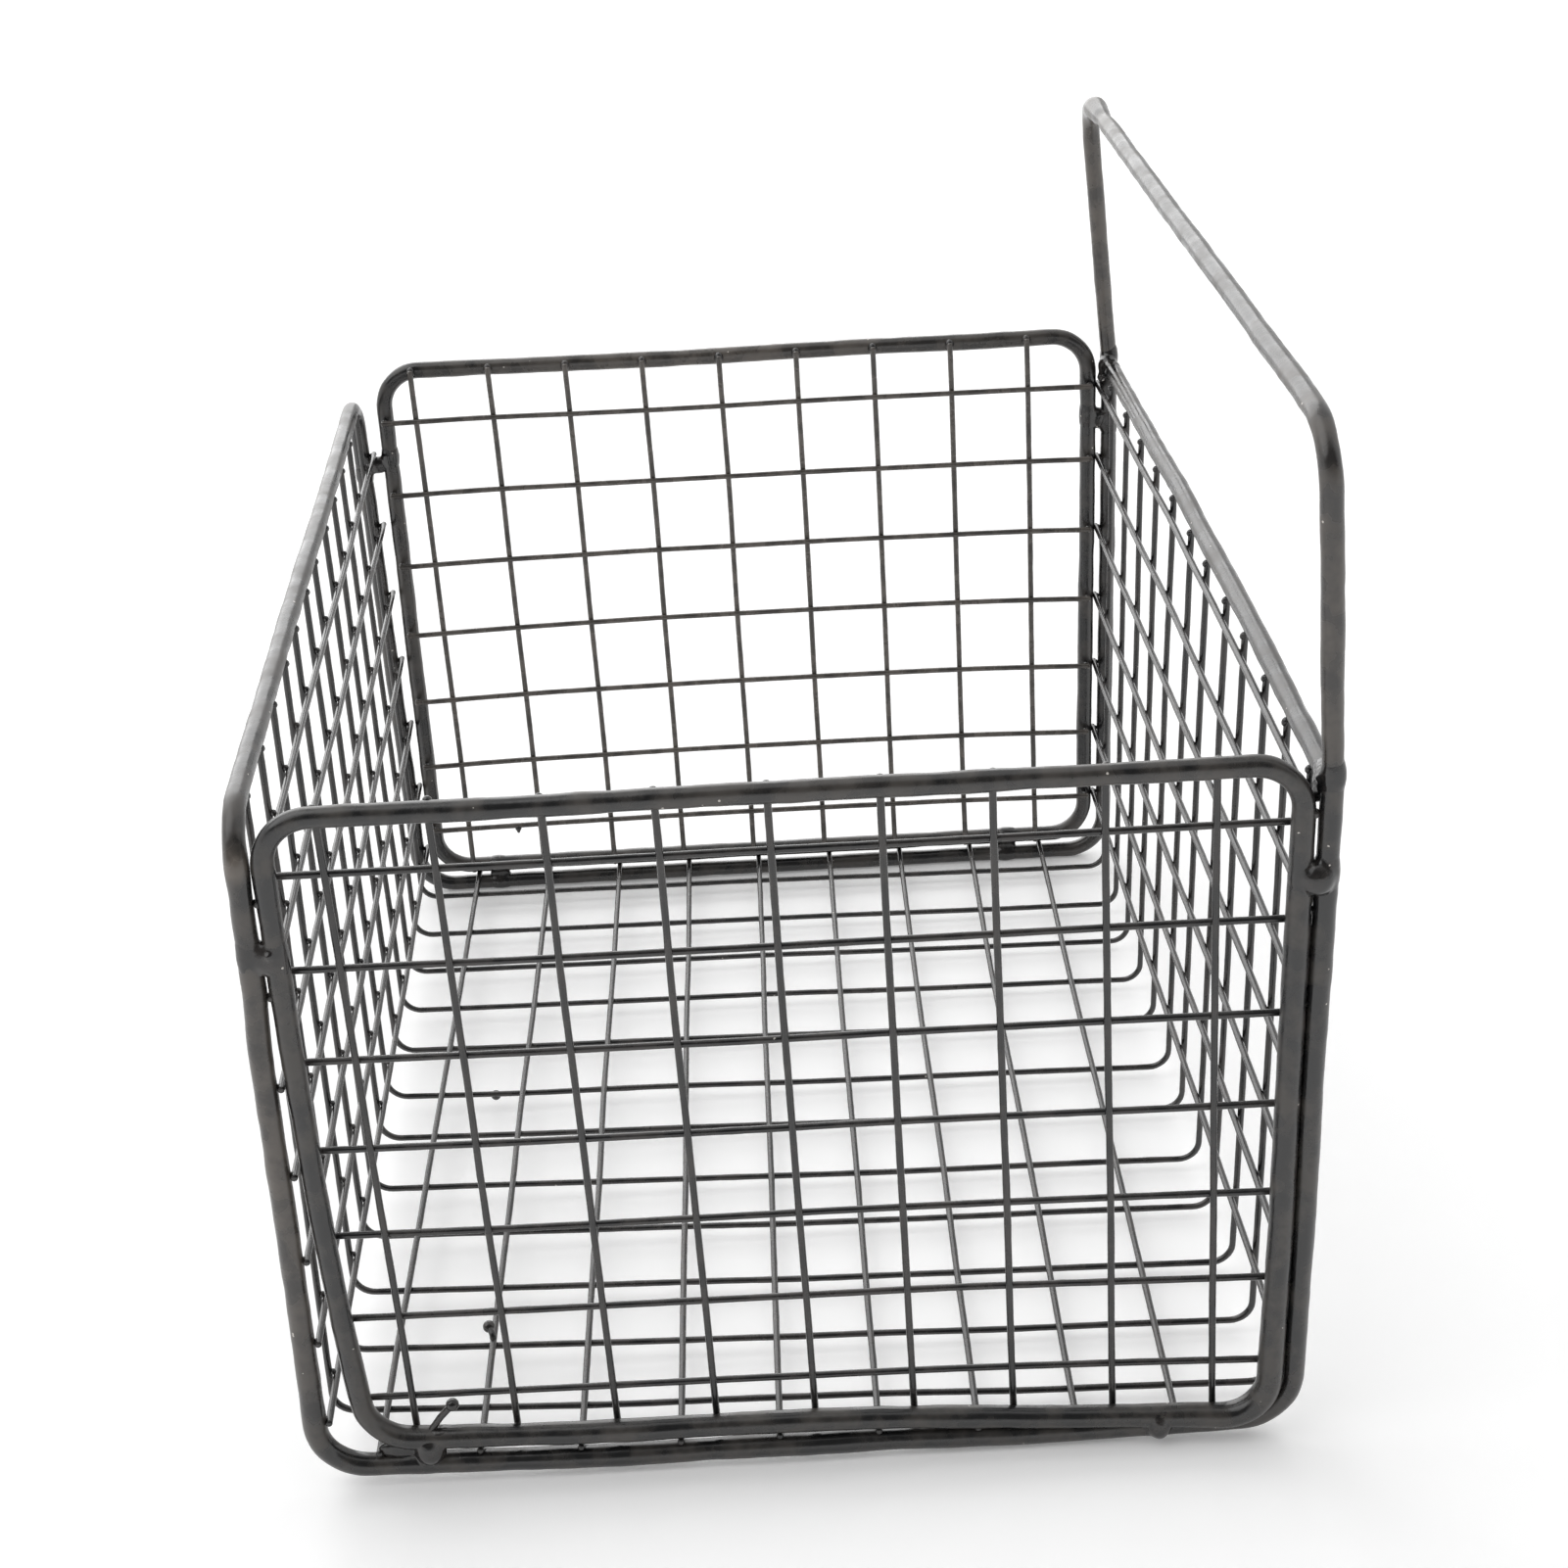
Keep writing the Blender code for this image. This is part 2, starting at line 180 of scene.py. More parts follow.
def sweepRod(name, route, radius, look, bendRadius=0.0, closed=False):
    # a ring of edges drawn along the route and spun round each corner
    route = list(route)
    if not closed:
        capReach = look["endProfile"][-1][0] * radius
        route[0] = route[0] + (route[1] - route[0]).normalized() * capReach
        route[-1] = route[-1] + (route[-2] - route[-1]).normalized() * capReach
    heading = (route[1] - route[0]).normalized()
    deselectAll()
    bpy.ops.mesh.primitive_circle_add(vertices=look["sides"], radius=radius, location=route[0],
                                      rotation=heading.to_track_quat('Z', 'X').to_euler())
    bpy.ops.object.transform_apply(location=True, rotation=True, scale=True)
    piece = bpy.context.object
    bpy.ops.object.mode_set(mode='EDIT')
    bpy.ops.mesh.select_all(action='SELECT')
    runs = []
    here = route[0]
    for before, corner, after in zip(route, route[1:], route[2:]):
        heading = (corner - before).normalized()
        turning = (after - corner).normalized()
        angle = heading.angle(turning)
        tangent = bendRadius * math.tan(angle / 2)
        bendStart = corner - heading * tangent
        pushRing(bendStart - here)
        runs.append((here, bendStart))
        inward = (turning - heading * heading.dot(turning)).normalized()
        bpy.ops.mesh.spin(steps=look["bendSteps"], angle=angle, axis=turning.cross(heading),
                          center=bendStart + inward * bendRadius)
        here = corner + turning * tangent
    pushRing(route[-1] - here)
    runs.append((here, route[-1]))
    bpy.ops.object.mode_set(mode='OBJECT')
    if closed:
        mergeReach = radius * 0.05
        bpy.ops.object.mode_set(mode='EDIT')
        bpy.ops.mesh.select_all(action='SELECT')
        bpy.ops.mesh.remove_doubles(threshold=mergeReach)
    else:
        for tip, beside in ((route[0], route[1]), (route[-1], route[-2])):
            roundEnd(piece, tip, (tip - beside).normalized(), radius, look["endProfile"])
    middleReach = radius * 1.5         # the long edges of a run all have their middles within this
    for start, end in runs:
        cutRun(piece, start, end, look["ringStep"], middleReach)
    bpy.ops.object.mode_set(mode='EDIT')
    bpy.ops.mesh.select_all(action='SELECT')
    bpy.ops.mesh.normals_make_consistent(inside=False)
    bpy.ops.object.mode_set(mode='OBJECT')
    return nameIt(piece, name)


# Materials
def linearColour(hexCode):
    # sRGB hex to linear, as shaders want it
    values = [int(hexCode[i:i + 2], 16) / 255 for i in (1, 3, 5)]
    return [v / 12.92 if v <= 0.04045 else ((v + 0.055) / 1.055) ** 2.4 for v in values] + [1.0]


def addNode(tree, kind, settings=None, links=None):
    # settings name properties or input sockets, and links name an input and the socket that feeds it.
    # the inputs of Math and Mix nodes share names, so they go by number: Mix has its share at 0 and
    # its two colours at 6 and 7, and gives the colour at output 2
    node = tree.nodes.new(kind)
    for name, value in (settings or {}).items():
        if isinstance(name, int) or name in node.inputs:
            node.inputs[name].default_value = value
        else:
            setattr(node, name, value)
    for name, socket in (links or {}).items():
        tree.links.new(socket, node.inputs[name])
    return node


def newMaterial(name):
    material = bpy.data.materials.new(name)
    material.use_nodes = True
    material.node_tree.nodes.clear()
    return material, material.node_tree


def blackCoat(name, look):
    # Black dip coat on mild steel: satin, a little orange peel, cloudy where it ran thin and
    # browner where the weld scale shows through, so the rods never read as one flat black.
    # Near-white specks are dust and bare metal, and painted glints as well.
    material, tree = newMaterial(name)
    place = {"Vector": addNode(tree, "ShaderNodeTexCoord").outputs["Object"]}
    patches = addNode(tree, "ShaderNodeTexNoise",
                      {"Scale": 1 / look["patchSize"], "Detail": look["patchDetail"],
                       "Roughness": look["patchRoughness"]}, place)
    tone = patches.outputs["Fac"]
    slow = addNode(tree, "ShaderNodeTexNoise",
                   {"Scale": 1 / look["driftSize"], "Detail": look["driftDetail"]}, place)
    drift = addNode(tree, "ShaderNodeMath",
                    {"operation": 'MULTIPLY_ADD', 1: look["driftShare"], 2: -look["driftShare"] / 2},
                    {0: slow.outputs["Fac"]})
    cloud = addNode(tree, "ShaderNodeMath", {"operation": 'ADD'}, {0: tone, 1: drift.outputs["Value"]})
    ramp = addNode(tree, "ShaderNodeValToRGB", links={"Fac": cloud.outputs["Value"]})
    colours = (look["deepColour"], look["thinColour"])
    for stop, level, hexCode in zip(ramp.color_ramp.elements, look["coatSpan"], colours):
        stop.position = level
        stop.color = linearColour(hexCode)
    # pale places from a mesh attribute: bare steel where worn, and painted sheen on the loop's posts
    paleAndSheenMask = addNode(tree, "ShaderNodeAttribute", {"attribute_name": "thinCoat"})
    patchy = addNode(tree, "ShaderNodeMapRange",
                     {"From Min": look["paleSpan"][0], "From Max": look["paleSpan"][1],
                      "To Min": look["paleRange"][0], "To Max": look["paleRange"][1]},
                     {"Value": tone})
    paleAndSheenShare = addNode(tree, "ShaderNodeMath", {"operation": 'MULTIPLY', "use_clamp": True},
                   {0: paleAndSheenMask.outputs["Fac"], 1: patchy.outputs["Result"]})
    coat = addNode(tree, "ShaderNodeMix", {"data_type": 'RGBA', 7: linearColour(look["bareAndSheenColour"])},
                   {0: paleAndSheenShare.outputs["Value"], 6: ramp.outputs["Color"]})
    # near-white dots on the paler patches of the coat: dust, and painted glints
    cell = addNode(tree, "ShaderNodeTexVoronoi", {"Scale": 1 / look["speckPitch"]}, place)
    small = addNode(tree, "ShaderNodeMath",
                    {"operation": 'LESS_THAN', 1: look["speckSize"] / look["speckPitch"]},
                    {0: cell.outputs["Distance"]})
    fewer = addNode(tree, "ShaderNodeMath", {"operation": 'GREATER_THAN', 1: look["speckAbove"]},
                    {0: tone})
    dustAndGlintDots = addNode(tree, "ShaderNodeMath", {"operation": 'MULTIPLY'},
                    {0: small.outputs["Value"], 1: fewer.outputs["Value"]})
    withDustAndGlints = addNode(tree, "ShaderNodeMix",
                       {"data_type": 'RGBA', 7: linearColour(look["dustAndGlintColour"])},
                       {0: dustAndGlintDots.outputs["Value"], 6: coat.outputs[2]})
    gloss = addNode(tree, "ShaderNodeMapRange",
                    {"From Min": look["glossSpan"][0], "From Max": look["glossSpan"][1],
                     "To Min": look["smoothest"], "To Max": look["roughest"]}, {"Value": tone})
    peel = addNode(tree, "ShaderNodeTexNoise", {"Scale": 1 / look["peelSize"]}, place)
    relief = addNode(tree, "ShaderNodeBump",
                     {"Strength": look["peelStrength"], "Distance": look["peelDepth"]},
                     {"Height": peel.outputs["Fac"]})
    shader = addNode(tree, "ShaderNodeBsdfPrincipled", {"Metallic": 0.0, "IOR": look["ior"]},
                     {"Base Color": withDustAndGlints.outputs[2], "Roughness": gloss.outputs["Result"],
                      "Normal": relief.outputs["Normal"]})
    addNode(tree, "ShaderNodeOutputMaterial", links={"Surface": shader.outputs["BSDF"]})
    return material


def seenDirectly(tree):
    # 1 for what the camera sees, itself or through a mirror or glass
    light = addNode(tree, "ShaderNodeLightPath")
    seen = light.outputs["Is Camera Ray"]
    for kind in ("Is Glossy Ray", "Is Transmission Ray"):
        either = addNode(tree, "ShaderNodeMath", {"operation": 'MAXIMUM'},
                         {0: seen, 1: light.outputs[kind]})
        seen = either.outputs["Value"]
    return seen


def paleFloor(look):
    # Matt white laminate, plain: it only carries the shadow, and a little glow keeps it white.
    material, tree = newMaterial("matt_white_laminate")
    glow = addNode(tree, "ShaderNodeMath", {"operation": 'MULTIPLY', 1: look["glow"]},
                   {0: seenDirectly(tree)})
    shader = addNode(tree, "ShaderNodeBsdfPrincipled",
                     {"Base Color": linearColour(look["colour"]), "Roughness": look["roughness"],
                      "Emission Color": linearColour(look["colour"])},
                     {"Emission Strength": glow.outputs["Value"]})
    addNode(tree, "ShaderNodeOutputMaterial", links={"Surface": shader.outputs["BSDF"]})
    return material


rodCoatLook = {
    # the pale colour: bare steel where worn, and painted sheen on the loop's posts
    "deepColour": "#1b1b1c", "thinColour": "#423e3a", "bareAndSheenColour": "#6b645d",
    "patchSize": 8 * mm, "patchDetail": 3.0, "patchRoughness": 0.55,     # cloudy thick and thin places
    "driftSize": 75 * mm, "driftDetail": 1.0, "driftShare": 0.35,        # one rod lighter than the next
    "coatSpan": (0.4, 0.64),            # levels of the cloud: the coat at its deepest and its thinnest
    "paleSpan": (0.38, 0.62), "paleRange": (0.55, 1.45),                 # how patchy the pale places are: worn steel, and painted sheen on the loop
    "glossSpan": (0.34, 0.66), "smoothest": 0.17, "roughest": 0.4,
    "peelSize": 2.4 * mm, "peelDepth": 0.06 * mm, "peelStrength": 0.8,
    # near-white specks: dust, and painted glints
    "speckPitch": 4.5 * mm, "speckSize": 0.3 * mm, "speckAbove": 0.55, "dustAndGlintColour": "#cfcac3",
    "ior": 1.68,                        # thick black lacquer
}
wireCoatLook = dict(rodCoatLook, deepColour="#131314", thinColour="#34302e", patchSize=7 * mm,
                    smoothest=0.16, roughest=0.34, peelSize=1.6 * mm, speckPitch=7 * mm)
weldCoatLook = dict(rodCoatLook, deepColour="#151516", thinColour="#322e2c", patchSize=4 * mm,
                    smoothest=0.1, roughest=0.26, peelSize=1.2 * mm, speckPitch=3 * mm)

rodCoat = blackCoat("dip_coated_steel_rod", rodCoatLook)
wireCoat = blackCoat("dip_coated_steel_wire", wireCoatLook)
weldCoat = blackCoat("dip_coated_weld", weldCoatLook)


def finishPiece(piece, material, slotName, *nodes):
    piece.data.materials.clear()
    piece.data.materials.append(material)
    makeActive(piece)
    bpy.ops.object.shade_smooth()
    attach(piece, "root")
    if nodes:
        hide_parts(*nodes)


# Hand-made unevenness
unevenness = {
    "lumpSize": 13 * mm, "lumpDepth": 0.55 * mm,      # the coat on the rods
    "wireLumpSize": 4 * mm, "wireLumpDepth": 0.16 * mm,
    "swaySize": 90 * mm, "swayDepth": 1.0 * mm,       # rods and wires bent by hand
}


def cloudTexture(name, size, depth=1):
    texture = bpy.data.textures.new(name, 'CLOUDS')
    texture.noise_scale = size
    texture.noise_depth = depth
    return texture


lumpTexture = cloudTexture("coat lumps", unevenness["lumpSize"], 2)
wireLumpTexture = cloudTexture("wire coat lumps", unevenness["wireLumpSize"])
swayTexture = cloudTexture("hand bent sway", unevenness["swaySize"])
swayTexture.cloud_type = 'COLOR'


def sway(piece):
    # one smooth field shifts everything alike, so what is welded together stays together
    applyModifier(piece, 'DISPLACE', texture=swayTexture, texture_coords='LOCAL',
                  direction='RGB_TO_XYZ', strength=unevenness["swayDepth"], mid_level=0.5)


def unevenCoat(piece, texture, depth):
    applyModifier(piece, 'DISPLACE', texture=texture, texture_coords='LOCAL', strength=depth,
                  mid_level=0.5)


# The basket is welded by hand, and its frames stand a few millimetres out of square
outOfSquare = {
    "farEnd": -4.0 * mm,                              # the far end has slipped to the front
    "nearLean": 1.6 * mm, "leanLevel": 0.6,           # the near end's lean, none at this share of height
    "farCorner": Vector((0, -2.6 * mm, -3.6 * mm)),   # the front rail's far corner, forward and down
    "nearFrontLift": 2.9 * mm, "nearBackLift": 2.2 * mm,    # the near bottom corners, off the floor
    "backBow": 1.2 * mm, "backBowFoot": -0.5,         # the back wall's middle, out above and in below
    "loopNear": Vector((0, 3.2 * mm, -2.6 * mm)),     # the loop's near top corner, and its far one
    "loopFar": Vector((0, 0.6 * mm, 1.0 * mm)),
    # the near panel frame hangs aslant
    "nearPanel": Vector((0, 0.9 * mm, -0.9 * mm)), "nearPanelWider": 1.05 * mm,
    "nearPanelShort": 0.9 * mm, "nearPanelRoll": -0.029,
    "backCorner": Vector((3.0 * mm, -2.2 * mm, 0)),   # its bottom back corner, bent out
    "frontLeg": -1.1 * mm, "frontCorner": 6.3 * mm,   # its front side and the corner below it
    "backFade": (2, 3), "frontFade": (3, 3.5),        # how fast they fade, across and up: powers
    "nearPostKink": 0.9 * mm,                         # the near front upright, above its weld
    "kinkLevel": 0.68, "kinkLength": 0.09,            # where it starts and is full, as shares of height
    "kinkFade": 12,                                   # a power: only the near end has it
    "bottomBow": 1.3 * mm, "bowReach": 65 * mm,       # the near bottom rods, up in the middle
    "bowMiddle": Vector((endX, 6 * mm, rodRadius * 2)),
    "farPanelWider": 0.6 * mm, "farPanelDrop": -0.8 * mm, "farPanelTaller": 4.0 * mm,
    "nearMeshLow": 1.3 * mm, "nearMeshLean": -4.4 * mm, "nearMeshRoll": -0.0107,
    "farMeshLow": -0.4 * mm, "farMeshLean": -2.8 * mm,
    "farMeshRise": 0.8 * mm, "farMeshBow": 4.5 * mm,
    "floorShift": -1.4 * mm, "floorTurn": -0.0095,
    "uWireTurn": 0.018, "troughRoll": -0.005,
    # U wires that were welded off their mark, along the basket
    "uWireSlips": {"u_wire_01": -2.2 * mm, "u_wire_06": 2.2 * mm,
                   "u_wire_08": 1.3 * mm, "u_wire_09": -0.6 * mm},
}


def farness(place):
    # 0 at the near end and 1 at the far end
    return (1 - place.x / endX) / 2


def lowness(place, topZ):
    # 1 on the floor and 0 at the top
    return max(1 - place.z / topZ, 0)


def frontLift(place):
    lift = outOfSquare["nearFrontLift"] * max(-place.y / sideY, 0)
    return Vector((0, 0, lift * (1 - farness(place)) * lowness(place, frontRailZ)))


def backLift(place):
    lift = outOfSquare["nearBackLift"] * max(place.y / sideY, 0) ** 2
    return Vector((0, 0, lift * (1 - farness(place)) * lowness(place, frontRailZ)))


def frameSlip(place):
    far = farness(place)
    front = (1 - place.y / sideY) / 2
    top = min(place.z / frontRailZ, 1)
    lean = outOfSquare["nearLean"] * (1 - far) * (top - outOfSquare["leanLevel"])
    slip = Vector((0, outOfSquare["farEnd"] * far + lean, 0))
    return slip + outOfSquare["farCorner"] * far * front * top


def postKink(place):
    above = (place.z / frontRailZ - outOfSquare["kinkLevel"]) / outOfSquare["kinkLength"]
    high = min(max(above, 0), 1)
    front = max(-place.y / sideY, 0)
    near = (1 - farness(place)) ** outOfSquare["kinkFade"]
    return Vector((0, outOfSquare["nearPostKink"] * high * front * near, 0))


def bottomBow(place):
    # the near bottom rods are bowed up in the middle, and lift the wires beside them
    share = nearness(place, [(outOfSquare["bowMiddle"], outOfSquare["bowReach"])])
    return Vector((0, 0, outOfSquare["bottomBow"] * share))


def bodyShift(place):
    lift = frontLift(place) + backLift(place) + bottomBow(place)
    return frameSlip(place) + postKink(place) + lift


def backBow(place):
    back = max(place.y / sideY, 0)
    foot = outOfSquare["backBowFoot"]
    lean = foot + (1 - foot) * place.z / backRailZ
    return Vector((0, outOfSquare["backBow"] * back * lean * (1 - (place.x / endX) ** 2), 0))


def wallShift(place):
    return bodyShift(place) + backBow(place)


def loopShift(place):
    far = farness(place)
    rise = (place.z - loopFootZ) / (loopTopZ - loopFootZ)
    corners = outOfSquare["loopFar"] * far + outOfSquare["loopNear"] * (1 - far)
    return bodyShift(place) + corners * rise


def nearPanelShift(place):
    low = lowness(place, panelTopZ)
    back = max(place.y / panelSideY, 0)
    front = max(-place.y / panelSideY, 0)
    sag = (outOfSquare["nearPanelShort"] + outOfSquare["nearPanelRoll"] * place.y) * low
    across, up = outOfSquare["frontFade"]
    wider = outOfSquare["nearPanelWider"] * back + outOfSquare["frontLeg"] * front
    wider += outOfSquare["frontCorner"] * front ** across * low ** up
    across, up = outOfSquare["backFade"]
    corner = outOfSquare["backCorner"] * back ** across * low ** up
    return outOfSquare["nearPanel"] + Vector((0, wider, sag)) + corner + bottomBow(place)


def farPanelShift(place):
    wider = outOfSquare["farPanelWider"] * place.y / panelSideY
    taller = outOfSquare["farPanelDrop"] + outOfSquare["farPanelTaller"] * place.z / panelTopZ
    return Vector((0, outOfSquare["farEnd"] + wider, taller))


def nearMeshShift(place):
    # the mesh bends out with its frame, but it is not turned as much
    low = lowness(place, panelTopZ)
    lean = outOfSquare["nearMeshLow"] + outOfSquare["nearMeshLean"] * (1 - low)
    roll = outOfSquare["nearPanel"].z + outOfSquare["nearMeshRoll"] * place.y * low
    return Vector((nearPanelShift(place).x, lean, roll))


def farMeshShift(place):
    # the far mesh is bowed outwards as well
    lean = outOfSquare["farMeshLow"] + outOfSquare["farMeshLean"] * place.z / panelTopZ
    across = 1 - (place.y / panelSideY) ** 2
    along = 1 - (2 * place.z / panelTopZ - 1) ** 2
    bow = outOfSquare["farMeshBow"] * max(across, 0) * max(along, 0)
    return Vector((-bow, lean, outOfSquare["farMeshRise"]))


def troughRoll(place):
    return frontLift(place) + bottomBow(place) + Vector((0, 0, outOfSquare["troughRoll"] * place.y))


slipPlaces = [(middleOf(node).x, slip) for node, slip in outOfSquare["uWireSlips"].items()]


def alongShift(place):
    # the U wires are turned in plan, less so in front at the far end, and a few have slipped
    turn = outOfSquare["uWireTurn"] * place.y
    if place.y < 0:
        turn *= 1 - farness(place)
    for x, slip in slipPlaces:
        turn += slip * max(1 - abs(place.x - x) / squarePitch, 0)
    return Vector((turn, 0, 0))


def uWireShift(place):
    return frameSlip(place) + troughRoll(place) + backBow(place) + alongShift(place)


def floorShift(place):
    slip = outOfSquare["floorShift"] + outOfSquare["floorTurn"] * place.x
    return Vector((0, slip, 0)) + troughRoll(place)


def floorCrossingShift(place):
    return floorShift(place) + alongShift(place)


def shiftPiece(piece, shiftAt):
    for vertex in piece.data.vertices:
        vertex.co += shiftAt(vertex.co)


def nearness(place, spots):
    # 1 at a spot's middle and 0 at its edge, with a smooth slope
    best = 0.0
    for middle, reach in spots:
        share = max(0.0, 1 - (place - middle).length / reach)
        best = max(best, share * share * (3 - 2 * share))
    return best


def swell(piece, spots, depth):
    # the rod is thicker at each spot: (middle, reach)
    group = piece.vertex_groups.new(name="swell")
    for vertex in piece.data.vertices:
        weight = nearness(vertex.co, spots)
        if weight > 0:
            group.add([vertex.index], weight, 'REPLACE')
    applyModifier(piece, 'DISPLACE', vertex_group="swell", strength=depth, mid_level=0.0)
    piece.vertex_groups.clear()


def grindFlat(piece, middle, facing, depth, reach):
    # a filed spot: whatever stands above the plane is taken down to it
    selectBy(piece, 'vertices', lambda place: (place - middle).length < reach
             and (place - middle).dot(facing) > -depth)
    bpy.ops.object.mode_set(mode='OBJECT')
    for vertex in piece.data.vertices:
        if vertex.select:
            vertex.co -= facing * ((vertex.co - middle).dot(facing) + depth)


def paleCoatAndSheenAt(piece, spots):
    # where the coat is paler: bare steel at worn and filed places, and painted sheen on the loop's
    # posts: (middle, reach, how much)
    attribute = piece.data.attributes.new("thinCoat", 'FLOAT', 'POINT')
    attribute.data.foreach_set("value", [
        max(share * nearness(vertex.co, [(middle, reach)]) for middle, reach, share in spots)
        for vertex in piece.data.vertices])


# Thick rods
rodLook = {
    "sides": 24, "bendSteps": 16, "ringStep": 1.6 * mm,
    "endProfile": [(0.1, 0.97), (0.25, 0.85), (0.34, 0.6)],
    "bodyBend": 13 * mm, "loopBend": 14 * mm, "panelBend": 12 * mm,
    "backUprightTop": loopFootZ - 0.3 * mm,
    "filedPlace": Vector((endX, -sideY, frontRailZ - 10 * mm)),
    "filedFacing": Vector((0.85, -0.05, 0.5)),
    "filedAbove": rodRadius + 0.05 * mm, "filedReach": 6.5 * mm, "filedSwell": 0.4 * mm,
    "poolInset": 13 * mm, "poolReach": 17 * mm, "poolSwell": 0.9 * mm,
    "neckInset": 30 * mm, "neckReach": 7 * mm, "neckDepth": 0.5 * mm,
    "filedWorn": 1.2,                                  # how far the steel shows through there
    "paleReach": 110 * mm, "paleShare": 0.45,          # paler: coat worn thin by hands on the front post, painted sheen on the loop's far post
    "nearLoopPale": 0.6,                               # the loop's near post, against its far one
    "postSwell": 0.28 * mm, "sideSwell": 0.22 * mm,    # dipped thicker: the near front rods
    "backPostSwell": 0.2 * mm, "backSideSwell": 0.52 * mm, "bottomSwell": 0.38 * mm,
    "sideShares": (0.15, 0.3, 0.45, 0.6, 0.75), "sideReach": panelTopZ / 4,
    "bottomShares": (-0.8, -0.4, 0, 0.4, 0.8), "bottomReach": sideY * 0.45,
}


def upTheSide(x, y):
    # places along an upright, for the coat to be thicker there
    return [(Vector((x, y, panelTopZ * share)), rodLook["sideReach"])
            for share in rodLook["sideShares"]]


def alongBottom(z):
    return [(Vector((endX, sideY * share, z)), rodLook["bottomReach"])
            for share in rodLook["bottomShares"]]


def bodyRod():
    route = [
        Vector((endX, sideY, rodLook["backUprightTop"])),
        Vector((endX, sideY, rodRadius)),
        Vector((endX, -sideY, rodRadius)),
        Vector((endX, -sideY, frontRailZ)),
        Vector((-endX, -sideY, frontRailZ)),
        Vector((-endX, -sideY, rodRadius)),
        Vector((-endX, sideY, rodRadius)),
        Vector((-endX, sideY, rodLook["backUprightTop"])),
    ]
    piece = sweepRod("body_rod_coated", route, rodRadius, rodLook, rodLook["bodyBend"])
    swell(piece, upTheSide(endX, -sideY), rodLook["postSwell"])
    swell(piece, upTheSide(endX, sideY), rodLook["backPostSwell"])
    swell(piece, alongBottom(rodRadius), rodLook["bottomSwell"])
    # the rod's two ends meet in a butt weld beside the near front corner, filed down afterwards
    middle = rodLook["filedPlace"]
    facing = rodLook["filedFacing"].normalized()
    swell(piece, [(middle, rodLook["filedReach"] + rodRadius)], rodLook["filedSwell"])
    grindFlat(piece, middle, facing, -rodLook["filedAbove"], rodLook["filedReach"])
    filed = middle + facing * rodLook["filedAbove"]
    post = Vector((endX, -sideY, frontRailZ / 2))
    paleCoatAndSheenAt(piece, [(filed, rodLook["filedReach"], rodLook["filedWorn"]),
                       (post, rodLook["paleReach"], rodLook["paleShare"])])
    return piece


def backRail():
    reach = highOf("back_rail").x
    route = [Vector((-reach, sideY, backRailZ)), Vector((reach, sideY, backRailZ))]
    return sweepRod("back_rail_coated", route, rodRadius, rodLook)


def hangingLoop():
    topZ = loopTopZ - rodRadius
    topY = lowOf("hanging_loop").y + rodRadius
    route = [
        Vector((-endX, sideY, loopFootZ)),
        Vector((-endX, topY, topZ)),
        Vector((endX, topY, topZ)),
        Vector((endX, sideY, loopFootZ)),
    ]
    piece = sweepRod("hanging_loop_coated", route, rodRadius, rodLook, rodLook["loopBend"])
    # thicker round the far bend, where the coat pooled, and necked in just past it
    pool = Vector((-endX + rodLook["poolInset"], topY, topZ))
    neck = Vector((-endX + rodLook["neckInset"], topY, topZ))
    swell(piece, [(pool, rodLook["poolReach"])], rodLook["poolSwell"])
    swell(piece, [(neck, rodLook["neckReach"])], -rodLook["neckDepth"])
    # paler patches on both posts of the loop, the far one more: painted sheen, for the bright far side
    # reflected in them
    shares = {-endX: rodLook["paleShare"], endX: rodLook["paleShare"] * rodLook["nearLoopPale"]}
    paleCoatAndSheenAt(piece, [(Vector((x, topY, (loopFootZ + topZ) / 2)), rodLook["paleReach"], share)
                       for x, share in shares.items()])
    return piece


def panelLoop():
    route = [
        Vector((0, 0, panelBottomZ)),
        Vector((0, panelSideY, panelBottomZ)),
        Vector((0, panelSideY, panelTopZ)),
        Vector((0, -panelSideY, panelTopZ)),
        Vector((0, -panelSideY, panelBottomZ)),
        Vector((0, 0, panelBottomZ)),
    ]
    return sweepRod("panel_pattern", route, rodRadius, rodLook, rodLook["panelBend"], closed=True)


def panelFrame(pattern, name, x):
    piece = copyTo(pattern, name, Vector((x, 0, 0)))
    if x > 0:
        swell(piece, upTheSide(x, -panelSideY), rodLook["sideSwell"])
        swell(piece, upTheSide(x, panelSideY), rodLook["backSideSwell"])
        swell(piece, alongBottom(panelBottomZ), rodLook["bottomSwell"])
    else:
        # the far frame is paler about the middle of its top rod
        paleCoatAndSheenAt(piece, [(Vector((x, 0, panelTopZ)), panelSideY, rodLook["paleShare"])])
    return piece


panelPattern = panelLoop()
thickRods = {
    "body_rod": (bodyRod(), bodyShift),
    "back_rail": (backRail(), wallShift),
    "hanging_loop": (hangingLoop(), loopShift),
    "near_panel_frame": (panelFrame(panelPattern, "near_panel_frame_coated", endX), nearPanelShift),
    "far_panel_frame": (panelFrame(panelPattern, "far_panel_frame_coated", -endX), farPanelShift),
}
bpy.data.objects.remove(panelPattern)
for node, (piece, shiftAt) in thickRods.items():
    shiftPiece(piece, shiftAt)
    sway(piece)
    unevenCoat(piece, lumpTexture, unevenness["lumpDepth"])
    finishPiece(piece, rodCoat, "painted_rod", node)
print("rods done:", len(thickRods))


# Thin wires
wireLook = {
    "sides": 12, "bendSteps": 8, "ringStep": 4 * mm,
    "endProfile": [(0.3, 1.05), (0.7, 1.0), (1.0, 0.8), (1.15, 0.45)],
    "uBend": 6 * mm,
    "uTopLap": 1.4 * mm,                 # how far a U wire's top goes up behind its rail
}


